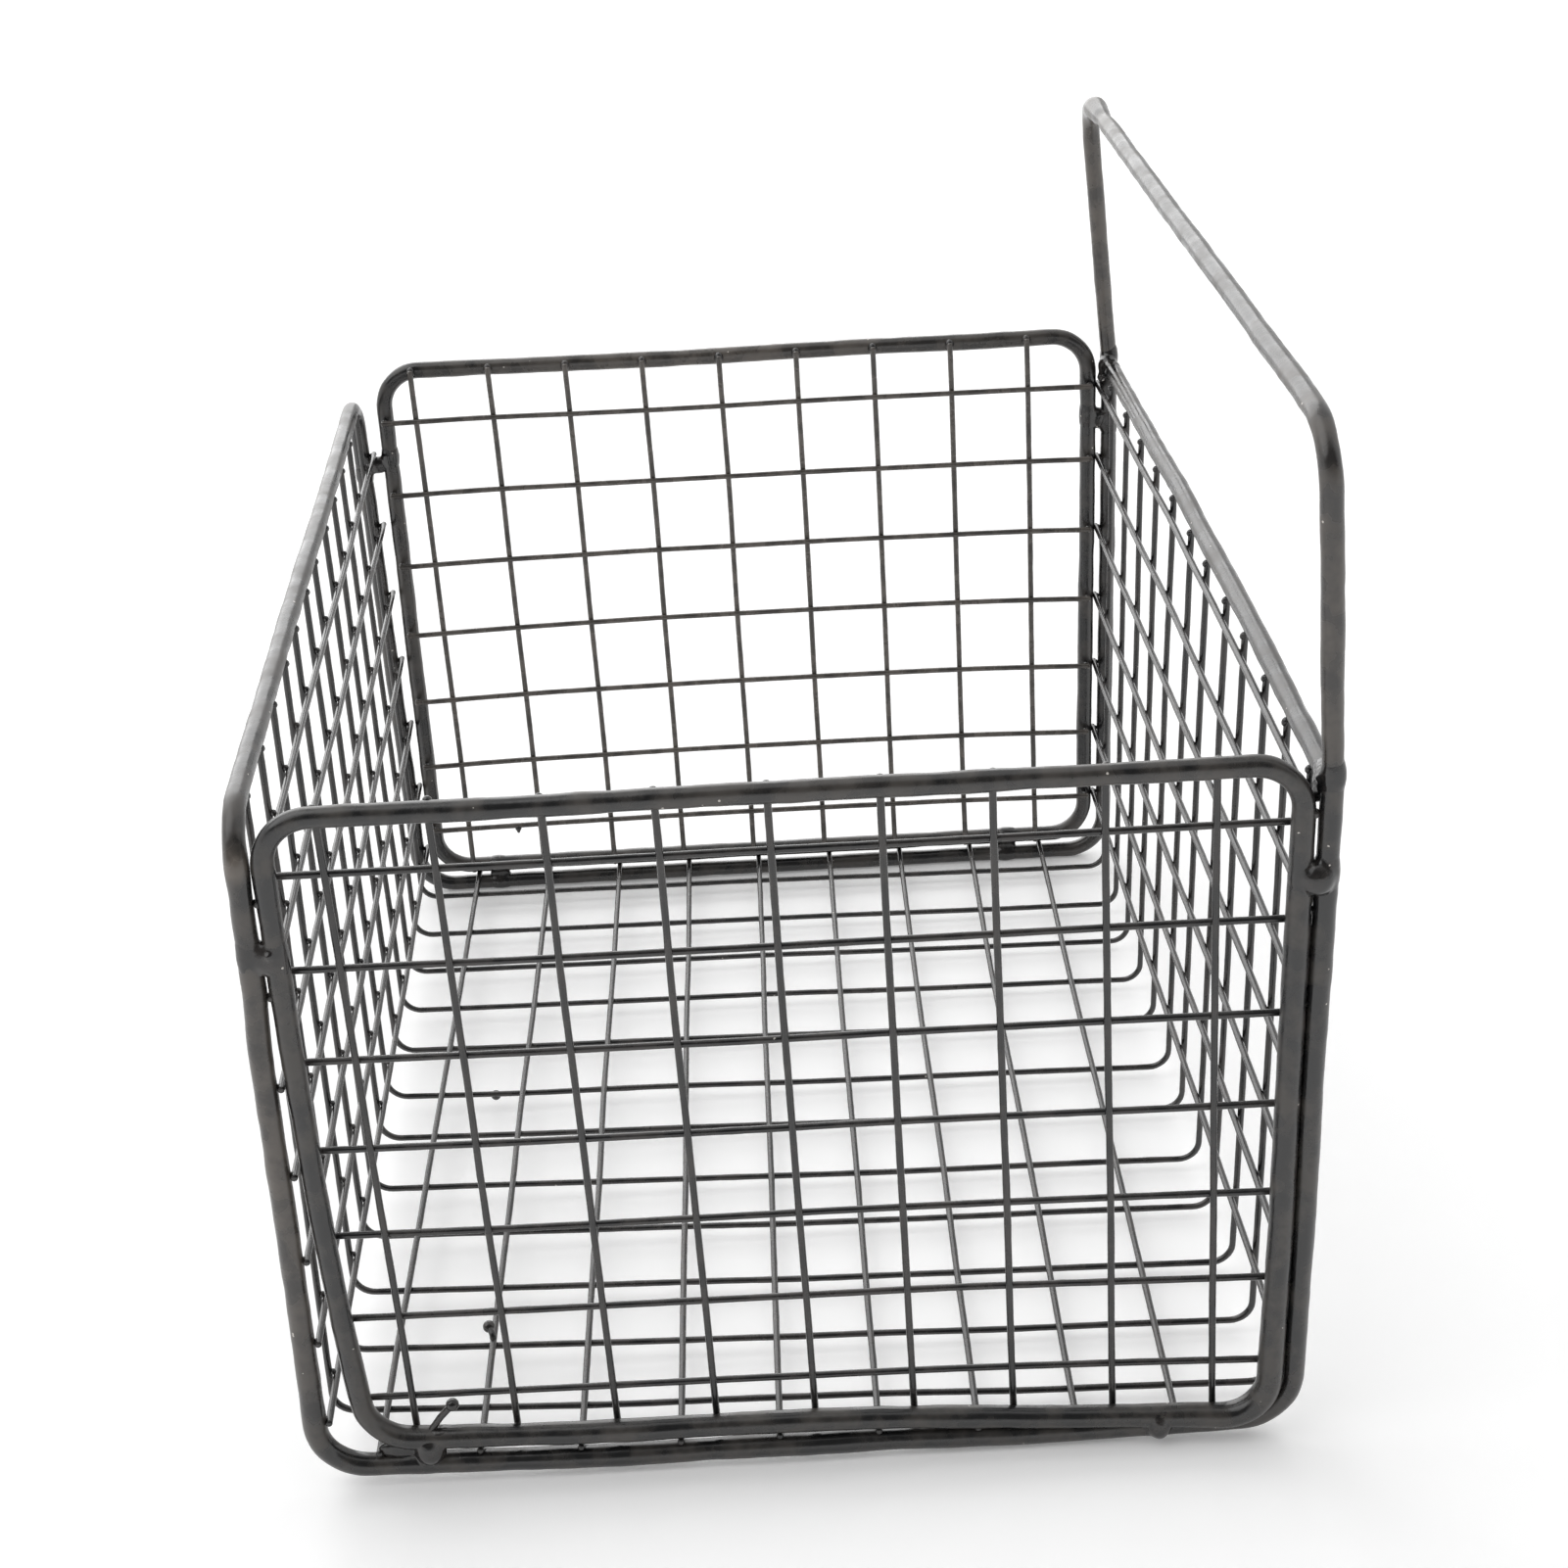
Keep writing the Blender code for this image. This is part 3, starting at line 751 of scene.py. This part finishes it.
def straightWire(name, start, end):
    return sweepRod(name, [start, end], wireRadius, wireLook)


def uWire():
    side = highOf("u_wire_01").y - wireRadius
    bottomZ = lowOf("u_wire_01").z + wireRadius
    route = [
        Vector((0, -side, highOf("u_wire_01").z + wireLook["uTopLap"])),
        Vector((0, -side, bottomZ)),
        Vector((0, side, bottomZ)),
        Vector((0, side, lowOf("back_rail").z + wireLook["uTopLap"])),
    ]
    return sweepRod("u_wire_pattern", route, wireRadius, wireLook, wireLook["uBend"])


def longWire():
    half = Vector((highOf("floor_wire_01").x, 0, 0))
    return straightWire("long_wire_pattern", -half, half)


def finishWire(piece, shiftAt, *nodes):
    shiftPiece(piece, shiftAt)
    sway(piece)
    unevenCoat(piece, wireLumpTexture, unevenness["wireLumpDepth"])
    finishPiece(piece, wireCoat, "painted_wire", *nodes)


uPattern = uWire()
longPattern = longWire()
for node in uWireNodes:
    finishWire(copyTo(uPattern, node + "_coated", Vector((middleOf(node).x, 0, 0))), uWireShift, node)
for node in floorWireNodes + frontWireNodes + backWireNodes:
    shiftAt = floorShift if node in floorWireNodes else wallShift
    finishWire(copyTo(longPattern, node + "_coated", middleOf(node)), shiftAt, node)
for pattern in (uPattern, longPattern):
    bpy.data.objects.remove(pattern)
print("trough wires done:", len(uWireNodes + floorWireNodes + frontWireNodes + backWireNodes))


# Spot welds, where the coat fills the corners between two wires or between a wire and a rod
spotLook = {
    "sides": 8, "rings": 6,
    "web": 0.85 * mm, "webThickness": 0.85 * mm,      # half sizes of a wire crossing's spot
    "foot": 1.15 * mm, "footWidth": 0.9 * mm, "footThickness": 1.1 * mm,  # of a wire on a rod
    "lap": 1.75 * mm, "lapWidth": 1.5 * mm, "lapThickness": 1.35 * mm,    # of a panel wire's end
    "floorFootThickness": 1.32 * mm, "footShift": wireRadius / 2,         # a foot leans to its rod
    "topIn": wireRadius / 3, "topDown": rodRadius * 0.85,                 # a U wire's top, at its rail
    "variationSize": 12 * mm, "variation": 0.25 * mm,
}
spotTexture = cloudTexture("spot weld sizes", spotLook["variationSize"])


def addLump(place, radii, look=spotLook):
    deselectAll()
    bpy.ops.mesh.primitive_uv_sphere_add(segments=look["sides"], ring_count=look["rings"], radius=1,
                                         location=place, scale=radii)
    bpy.ops.object.transform_apply(location=True, rotation=True, scale=True)
    return bpy.context.object


def lumpGrid(place, radii, *rows):
    # one lump, repeated along each row: (step, count)
    piece = addLump(place, radii)
    for step, count in rows:
        applyModifier(piece, 'ARRAY', count=count, use_relative_offset=False,
                      use_constant_offset=True, constant_offset_displace=step)
    return piece


uRow = (Vector((squarePitch, 0, 0)), len(uWireNodes))
firstX = middleOf(uWireNodes[0]).x
webRadii = (spotLook["web"], spotLook["webThickness"], spotLook["web"])


def wallCrossings():
    uSide = highOf(uWireNodes[0]).y - wireRadius
    pieces = []
    for wires in (frontWireNodes, backWireNodes):
        lowest = middleOf(wires[0])
        between = (lowest.y + math.copysign(uSide, lowest.y)) / 2
        pieces.append(lumpGrid((firstX, between, lowest.z), webRadii, uRow,
                               (Vector((0, 0, squarePitch)), len(wires))))
    radii = (spotLook["footWidth"], spotLook["footThickness"], spotLook["foot"])
    for side, railZ in ((-1, frontRailZ), (1, backRailZ)):
        top = (firstX, side * (uSide - spotLook["topIn"]), railZ - spotLook["topDown"])
        pieces.append(lumpGrid(top, radii, uRow))
    return pieces


def wallFeet():
    radii = (spotLook["foot"], spotLook["footThickness"], spotLook["footWidth"])
    pieces = []
    for wires in (frontWireNodes, backWireNodes):
        lowest = middleOf(wires[0])
        outwards = math.copysign(spotLook["footShift"], lowest.y)
        for end in (-endX, endX):
            pieces.append(lumpGrid((end, lowest.y + outwards, lowest.z), radii,
                                   (Vector((0, 0, squarePitch)), len(wires))))
    return pieces


def floorCrossings():
    first = middleOf(floorWireNodes[0])
    uLow = lowOf(uWireNodes[0]).z + wireRadius
    radii = (spotLook["web"], spotLook["web"], spotLook["webThickness"])
    return [lumpGrid((firstX, first.y, (first.z + uLow) / 2), radii, uRow,
                     (Vector((0, squarePitch, 0)), len(floorWireNodes)))]


def floorFeet():
    first = middleOf(floorWireNodes[0])
    radii = (spotLook["foot"], spotLook["footWidth"], spotLook["floorFootThickness"])
    return [lumpGrid((end, first.y, first.z - spotLook["footShift"]), radii,
                     (Vector((0, squarePitch, 0)), len(floorWireNodes))) for end in (-endX, endX)]


def finishSpots(name, pieces, shiftAt):
    piece = joinPieces(pieces, name)
    unevenCoat(piece, spotTexture, spotLook["variation"])
    finishWire(piece, shiftAt)


finishSpots("wall_spot_welds", wallCrossings(), uWireShift)
finishSpots("wall_wire_feet", wallFeet(), wallShift)
finishSpots("floor_spot_welds", floorCrossings(), floorCrossingShift)
finishSpots("floor_wire_feet", floorFeet(), floorShift)
print("spot welds of the trough done")


# The mesh of the two end panels
panelLook = {
    "upCount": 9, "crossCount": 7,
    "nearShift": 0.5 * mm, "farShift": -6 * mm,          # middle upright off the panel's middle
    "nearTopDrop": 17.3 * mm, "farTopDrop": 13.6 * mm,   # highest cross wire below the top rod
    "paleReach": 350 * mm, "farPale": 0.6,               # the far mesh is paler
}


def panelMesh(node, end, shift, topDrop, shiftAt, frameShiftAt):
    low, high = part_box(node)
    outer = end * (max(abs(low.x), abs(high.x)) - wireRadius)
    inner = end * (min(abs(low.x), abs(high.x)) + wireRadius)
    rodFace = end * (endX - rodRadius)
    ys = [shift + (index - (panelLook["upCount"] - 1) / 2) * squarePitch
          for index in range(panelLook["upCount"])]
    zs = [panelTopZ - topDrop - index * squarePitch for index in range(panelLook["crossCount"])]

    def atFrame(x, y, z, along):
        # a wire's end, moved along the wire to where the frame's rod really is
        place = Vector((x, y, z))
        gap = frameShiftAt(place) - shiftAt(place)
        return place + along * gap.dot(along)

    up = Vector((0, 0, 1))
    sideways = Vector((0, 1, 0))
    wires = [straightWire("upright", atFrame(outer, y, low.z, up), atFrame(outer, y, high.z, up))
             for y in ys]
    wires += [straightWire("cross", atFrame(inner, low.y, z, sideways),
                           atFrame(inner, high.y, z, sideways)) for z in zs]
    piece = joinPieces(wires, node + "_coated")
    if end < 0:
        # the far mesh is paler all over
        middle = Vector((inner, 0, panelTopZ / 2))
        paleCoatAndSheenAt(piece, [(middle, panelLook["paleReach"], panelLook["farPale"])])
    finishWire(piece, shiftAt, node)

    web, thick = spotLook["web"], spotLook["webThickness"]
    spots = [lumpGrid(((inner + outer) / 2, ys[0], zs[-1]), (thick, web, web),
                      (Vector((0, squarePitch, 0)), panelLook["upCount"]),
                      (Vector((0, 0, squarePitch)), panelLook["crossCount"]))]
    lap = (spotLook["lapThickness"], spotLook["lapWidth"], spotLook["lap"])
    for z in (high.z - spotLook["lap"] / 2, low.z + spotLook["lap"] / 2):
        first = atFrame(rodFace, ys[0], z, up)
        step = (atFrame(rodFace, ys[-1], z, up) - first) / (panelLook["upCount"] - 1)
        spots.append(lumpGrid(first, lap, (step, panelLook["upCount"])))
    foot = (spotLook["foot"], spotLook["footWidth"], spotLook["footThickness"])
    footX = (inner + rodFace) / 2
    spots += [addLump(atFrame(footX, y, z, sideways), foot)
              for y in (-panelSideY, panelSideY) for z in zs]
    finishSpots(node + "_spot_welds", spots, shiftAt)


panelMesh("near_panel_mesh", 1, panelLook["nearShift"], panelLook["nearTopDrop"],
          nearMeshShift, nearPanelShift)
panelMesh("far_panel_mesh", -1, panelLook["farShift"], panelLook["farTopDrop"],
          farMeshShift, farPanelShift)
print("panel meshes done")


# Weld lumps
weldLook = {
    "sides": 20, "rings": 12,
    "voxel": 0.34 * mm, "smoothing": 26, "smoothFactor": 0.6,
    "roughSize": 3.2 * mm, "roughDepth": 0.26 * mm,
    "spatterSmall": 0.6 * mm, "spatterBig": 1.1 * mm,
    "spatterNear": 0.8,                  # the nearest spatter, as a share of its reach
    "sleeve": 0.5 * mm,                  # how far the weld metal stands on the rods beside it
    "runOut": rodRadius * 0.75, "runUp": rodRadius * 1.1,
}
sleeveRadius = rodRadius + weldLook["sleeve"]
weldTexture = cloudTexture("weld ripple", weldLook["roughSize"], 2)


def weld(name, lumps, *nodes):
    # round lumps melted into one another
    piece = joinPieces([addLump(place, radii, weldLook) for place, radii in lumps], name)
    applyModifier(piece, 'REMESH', mode='VOXEL', voxel_size=weldLook["voxel"])
    applyModifier(piece, 'SMOOTH', factor=weldLook["smoothFactor"], iterations=weldLook["smoothing"])
    unevenCoat(piece, weldTexture, weldLook["roughDepth"])
    sway(piece)
    finishPiece(piece, weldCoat, "painted_weld", *nodes)


def spatterRound(place, reach, count):
    lumps = []
    for _ in range(count):
        away = Vector([chance.uniform(-1, 1) for axis in range(3)]).normalized()
        size = chance.uniform(weldLook["spatterSmall"], weldLook["spatterBig"])
        off = reach * chance.uniform(weldLook["spatterNear"], 1.0)
        lumps.append((place + away * off, (size, size, size)))
    return lumps


# in mm: the core's offset from the bead's own place, and its half sizes, each as out of the basket,
# across and along the rod. A run is weld metal drawn out beside it: how far off and its half length
beadLooks = {
    "near_front_bead": {"core": (0.6, 0, 0), "half": (2.8, 4.2, 4.4), "reach": 10.5, "spatter": 5},
    "near_back_bead": {"core": (1.2, 0.4, -0.8), "half": (4.0, 4.6, 4.5), "reach": 9.0, "spatter": 4},
    "far_front_bead": {"core": (0.2, 0, 0), "half": (2.6, 4.2, 3.0), "reach": 6.0, "spatter": 6},
    "far_back_bead": {"core": (0.3, 0, 0), "half": (2.9, 3.8, 3.6), "reach": 7.5, "spatter": 4},
    "near_bottom_front_bead": {"core": (1.0, 1.0, -2.8), "half": (3.6, 4.5, 3.8), "reach": 9.5,
                               "spatter": 6, "run": (-7.4, 6.2)},
    "near_bottom_back_bead": {"core": (1.2, -0.2, 0.6), "half": (3.8, 4.2, 3.2), "reach": 8.5,
                              "spatter": 4},
    "far_bottom_front_bead": {"core": (0.6, 0, 0), "half": (2.3, 3.6, 3.6), "reach": 6.0, "spatter": 3},
    "far_bottom_back_bead": {"core": (0.6, 0, 0), "half": (2.3, 3.6, 3.6), "reach": 6.0, "spatter": 3},
}


def beadLumps(node, look):
    middle = middleOf(node)
    end = math.copysign(1, middle.x)
    panelShift = nearPanelShift if end > 0 else farPanelShift
    out, across, rise = (value * mm for value in look["core"])
    halfOut, halfAcross, halfAlong = (value * mm for value in look["half"])
    reach = look["reach"] * mm
    if "bottom" in node:
        core = middle + Vector((end * out, rise, across))
        coreSize = (halfOut, halfAlong, halfAcross)
        sleeveSize = (sleeveRadius, reach, sleeveRadius)
        rods = [Vector((end * endX, core.y, z)) for z in (rodRadius, panelBottomZ)]
    else:
        side = math.copysign(1, middle.y)
        core = middle + Vector((end * out, side * across, rise))
        coreSize = (halfOut, halfAcross, halfAlong)
        sleeveSize = (sleeveRadius, sleeveRadius, reach)
        rods = [Vector((end * endX, side * y, core.z)) for y in (sideY, panelSideY)]
    core += (bodyShift(core) + panelShift(core)) / 2
    lumps = [(core, coreSize)]
    for rod, shiftAt in zip(rods, (bodyShift, panelShift)):
        lumps.append((rod + shiftAt(rod), sleeveSize))
    if "run" in look:
        runAlong, runHalf = (value * mm for value in look["run"])
        runPlace = Vector((end * endX, core.y + runAlong, core.z))
        lumps.append((runPlace, (weldLook["runOut"], runHalf, weldLook["runUp"])))
    return lumps + spatterRound(core, halfAlong, look["spatter"])


for node, look in beadLooks.items():
    weld(node + "_coated", beadLumps(node, look), node)

collarLook = {
    "sleeveReach": 6.5 * mm, "railReach": 6 * mm, "spatter": 4,
    "coreIn": 2.6 * mm, "coreForward": rodRadius / 3, "core": (4.0 * mm, 3.2 * mm, 4.0 * mm),
    "tearPlace": Vector((0, -2.0 * mm, -3.6 * mm)),     # a tear of weld metal under the core
    "tear": (1.6 * mm, 1.6 * mm, 1.8 * mm),
}


def collarLumps(end):
    joint = Vector((end * endX, sideY, loopFootZ))
    railEnd = Vector((end * (endX - collarLook["railReach"]), sideY, backRailZ))
    core = Vector((end * (endX - collarLook["coreIn"]), sideY - collarLook["coreForward"], backRailZ))
    lumps = [
        (joint, (sleeveRadius, sleeveRadius, collarLook["sleeveReach"])),
        (railEnd, (collarLook["railReach"], sleeveRadius, sleeveRadius)),
        (core, collarLook["core"]),
        (core + collarLook["tearPlace"], collarLook["tear"]),
    ]
    lumps += spatterRound(core, collarLook["core"][0], collarLook["spatter"])
    return [(place + bodyShift(joint), radii) for place, radii in lumps]


for node, end in (("near_weld_collar", 1), ("far_weld_collar", -1)):
    weld(node + "_coated", collarLumps(end), node)
print("weld lumps done:", len(beadLooks) + 2)


# Runs and drops of the dip coat, and stubs of filler wire left at the welds
dripLook = {
    "sides": 14, "rings": 10,
    "drop": 1.6 * mm, "wireBall": 1.15 * mm, "hang": 0.8 * mm,
    "tailWidth": 0.6,                    # of a hanging drop, as a share of its own
    "stubRadius": 0.9 * mm, "stubBend": 1.35 * mm, "stubRing": 1 * mm, "bulb": 1.7 * mm,
    # the stub that stands up from the near left bottom weld
    "hookBeside": -4.6 * mm, "hookUp": rodRadius * 0.6,
    "hookBow": Vector((0, 0, 0.6 * mm)), "hookReach": Vector((0, 6.5 * mm, 8.6 * mm)),
    # the stub that is curled over on the floor behind it
    "curlBeside": -1 * mm, "curlRise": Vector((0, 0, 1.8 * mm)),
    "curlReach": Vector((-3.2 * mm, -1.2 * mm, 2.2 * mm)),
    # single drops, each by its place across the basket
    "farBallY": -90 * mm, "pipY": -78.3 * mm, "pipIn": 1.9 * mm, "pipUp": rodRadius * 0.7,
    "floorDropY": -91.5 * mm,
}


def dropOn(place, size, hang=0.0):
    lumps = [addLump(place, (size, size, size), dripLook)]
    if hang:
        tail = size * dripLook["tailWidth"]
        lumps.append(addLump(place - Vector((0, 0, hang)), (tail, tail, size), dripLook))
    return joinPieces(lumps, "drop")


def fillerStub(route):
    # a short bent end of filler wire with a melted bulb
    look = dict(wireLook, ringStep=dripLook["stubRing"])
    stub = sweepRod("stub", route, dripLook["stubRadius"], look, dripLook["stubBend"])
    bulb = addLump(route[-1], (dripLook["bulb"],) * 3, dripLook)
    return joinPieces([stub, bulb], "stub")


def hookStub():
    beadY = middleOf("near_bottom_front_bead").y
    foot = Vector((endX, beadY + dripLook["hookBeside"], panelBottomZ + dripLook["hookUp"]))
    foot += nearPanelShift(foot)
    tip = foot + dripLook["hookReach"]
    return fillerStub([foot, (foot + tip) / 2 + dripLook["hookBow"], tip])


def curledStub():
    wire = middleOf("floor_wire_02")
    foot = Vector((middleOf("u_wire_11").x + dripLook["curlBeside"], wire.y, wire.z))
    foot += floorShift(foot)
    return fillerStub([foot, foot + dripLook["curlRise"], foot + dripLook["curlReach"]])


def farBall():
    # hangs under the lowest cross wire of the far mesh, which lies inside the uprights
    crossX = lowOf("far_panel_mesh").x + wireRadius * 3
    crossZ = panelTopZ - panelLook["farTopDrop"] - (panelLook["crossCount"] - 1) * squarePitch
    place = Vector((crossX, dripLook["farBallY"], crossZ - wireRadius))
    return dropOn(place + farMeshShift(place), dripLook["wireBall"], dripLook["hang"])


def topRailPip():
    place = Vector((endX - dripLook["pipIn"], dripLook["pipY"], panelTopZ + dripLook["pipUp"]))
    return dropOn(place + nearPanelShift(place), dripLook["wireBall"])


def floorDrop():
    wire = "u_wire_06"
    place = Vector((middleOf(wire).x, dripLook["floorDropY"], lowOf(wire).z + wireRadius))
    return dropOn(place, dripLook["drop"])


drops = [hookStub(), curledStub(), farBall(), topRailPip(), floorDrop()]
dropPiece = joinPieces(drops, "coat_drops_and_stubs")
sway(dropPiece)
finishPiece(dropPiece, weldCoat, "painted_weld")
print("drops done:", len(drops))


# Floor, light and camera
cameraLook = {
    "place": Vector((0.6685, -0.0050, 0.4516)),
    "aim": Vector((-0.0379, 0.0038, 0.0950)),
    "rollDegrees": -2.82,
    "lens": 59.17,
}
floorLook = {"colour": "#f2f2f2", "roughness": 0.6, "size": 12.0, "glow": 0.2}
# a white studio, dim above the horizon on the camera's side, as behind any photographer
worldLook = {
    "colour": "#ffffff", "bright": 0.88, "dim": 0.12,
    "sideFrom": 0.1, "sideTo": 0.55, "liftFrom": 0.1, "liftTo": 0.28,
}
# where each lamp stands from the basket, how wide it looks in degrees, and how strong it is
lampLooks = [
    {"name": "left softbox", "from": Vector((0.15, -0.75, 1.0)), "width": 60, "strength": 0.8},
    {"name": "back softbox", "from": Vector((-1.0, -0.35, 0.42)), "width": 60, "strength": 1.5},
]


def floorPlane():
    deselectAll()
    bpy.ops.mesh.primitive_plane_add(size=floorLook["size"], location=(0, 0, lowOf("body_rod").z))
    floor = bpy.context.object
    floor.name = "floor"
    bpy.ops.object.transform_apply(location=True, rotation=True, scale=True)
    floor.data.materials.append(paleFloor(floorLook))


def whiteWorld():
    world = bpy.data.worlds.new("studio")
    bpy.context.scene.world = world
    world.use_nodes = True
    tree = world.node_tree
    tree.nodes.clear()
    heading = addNode(tree, "ShaderNodeTexCoord").outputs["Generated"]
    axes = addNode(tree, "ShaderNodeSeparateXYZ", links={"Vector": heading})
    side = addNode(tree, "ShaderNodeMapRange",
                   {"interpolation_type": 'SMOOTHSTEP', "From Min": worldLook["sideFrom"],
                    "From Max": worldLook["sideTo"]}, {"Value": axes.outputs["X"]})
    lift = addNode(tree, "ShaderNodeMapRange",
                   {"interpolation_type": 'SMOOTHSTEP', "From Min": worldLook["liftFrom"],
                    "From Max": worldLook["liftTo"]}, {"Value": axes.outputs["Z"]})
    shade = addNode(tree, "ShaderNodeMath", {"operation": 'MULTIPLY'},
                    {0: side.outputs["Result"], 1: lift.outputs["Result"]})
    strength = addNode(tree, "ShaderNodeMapRange",
                       {"To Min": worldLook["bright"], "To Max": worldLook["dim"]},
                       {"Value": shade.outputs["Value"]})
    sky = addNode(tree, "ShaderNodeBackground", {"Color": linearColour(worldLook["colour"])},
                  {"Strength": strength.outputs["Result"]})
    addNode(tree, "ShaderNodeOutputWorld", links={"Surface": sky.outputs["Background"]})


def addLamp(look):
    lamp = bpy.data.lights.new(look["name"], 'SUN')
    lamp.angle = math.radians(look["width"])
    lamp.energy = look["strength"]
    item = bpy.data.objects.new(look["name"], lamp)
    bpy.context.collection.objects.link(item)
    item.location = look["from"]
    item.rotation_euler = look["from"].to_track_quat('Z', 'Y').to_euler()


def addCamera():
    camera = bpy.data.cameras.new("camera")
    camera.lens = cameraLook["lens"]
    item = bpy.data.objects.new("camera", camera)
    bpy.context.collection.objects.link(item)
    item.location = cameraLook["place"]
    item.rotation_euler = (cameraLook["aim"] - cameraLook["place"]).to_track_quat('-Z', 'Y').to_euler()
    item.rotation_euler.rotate_axis('Z', math.radians(cameraLook["rollDegrees"]))
    bpy.context.scene.camera = item


floorPlane()
whiteWorld()
for look in lampLooks:
    addLamp(look)
addCamera()
bpy.context.scene.view_settings.view_transform = 'Standard'
print("stage done")
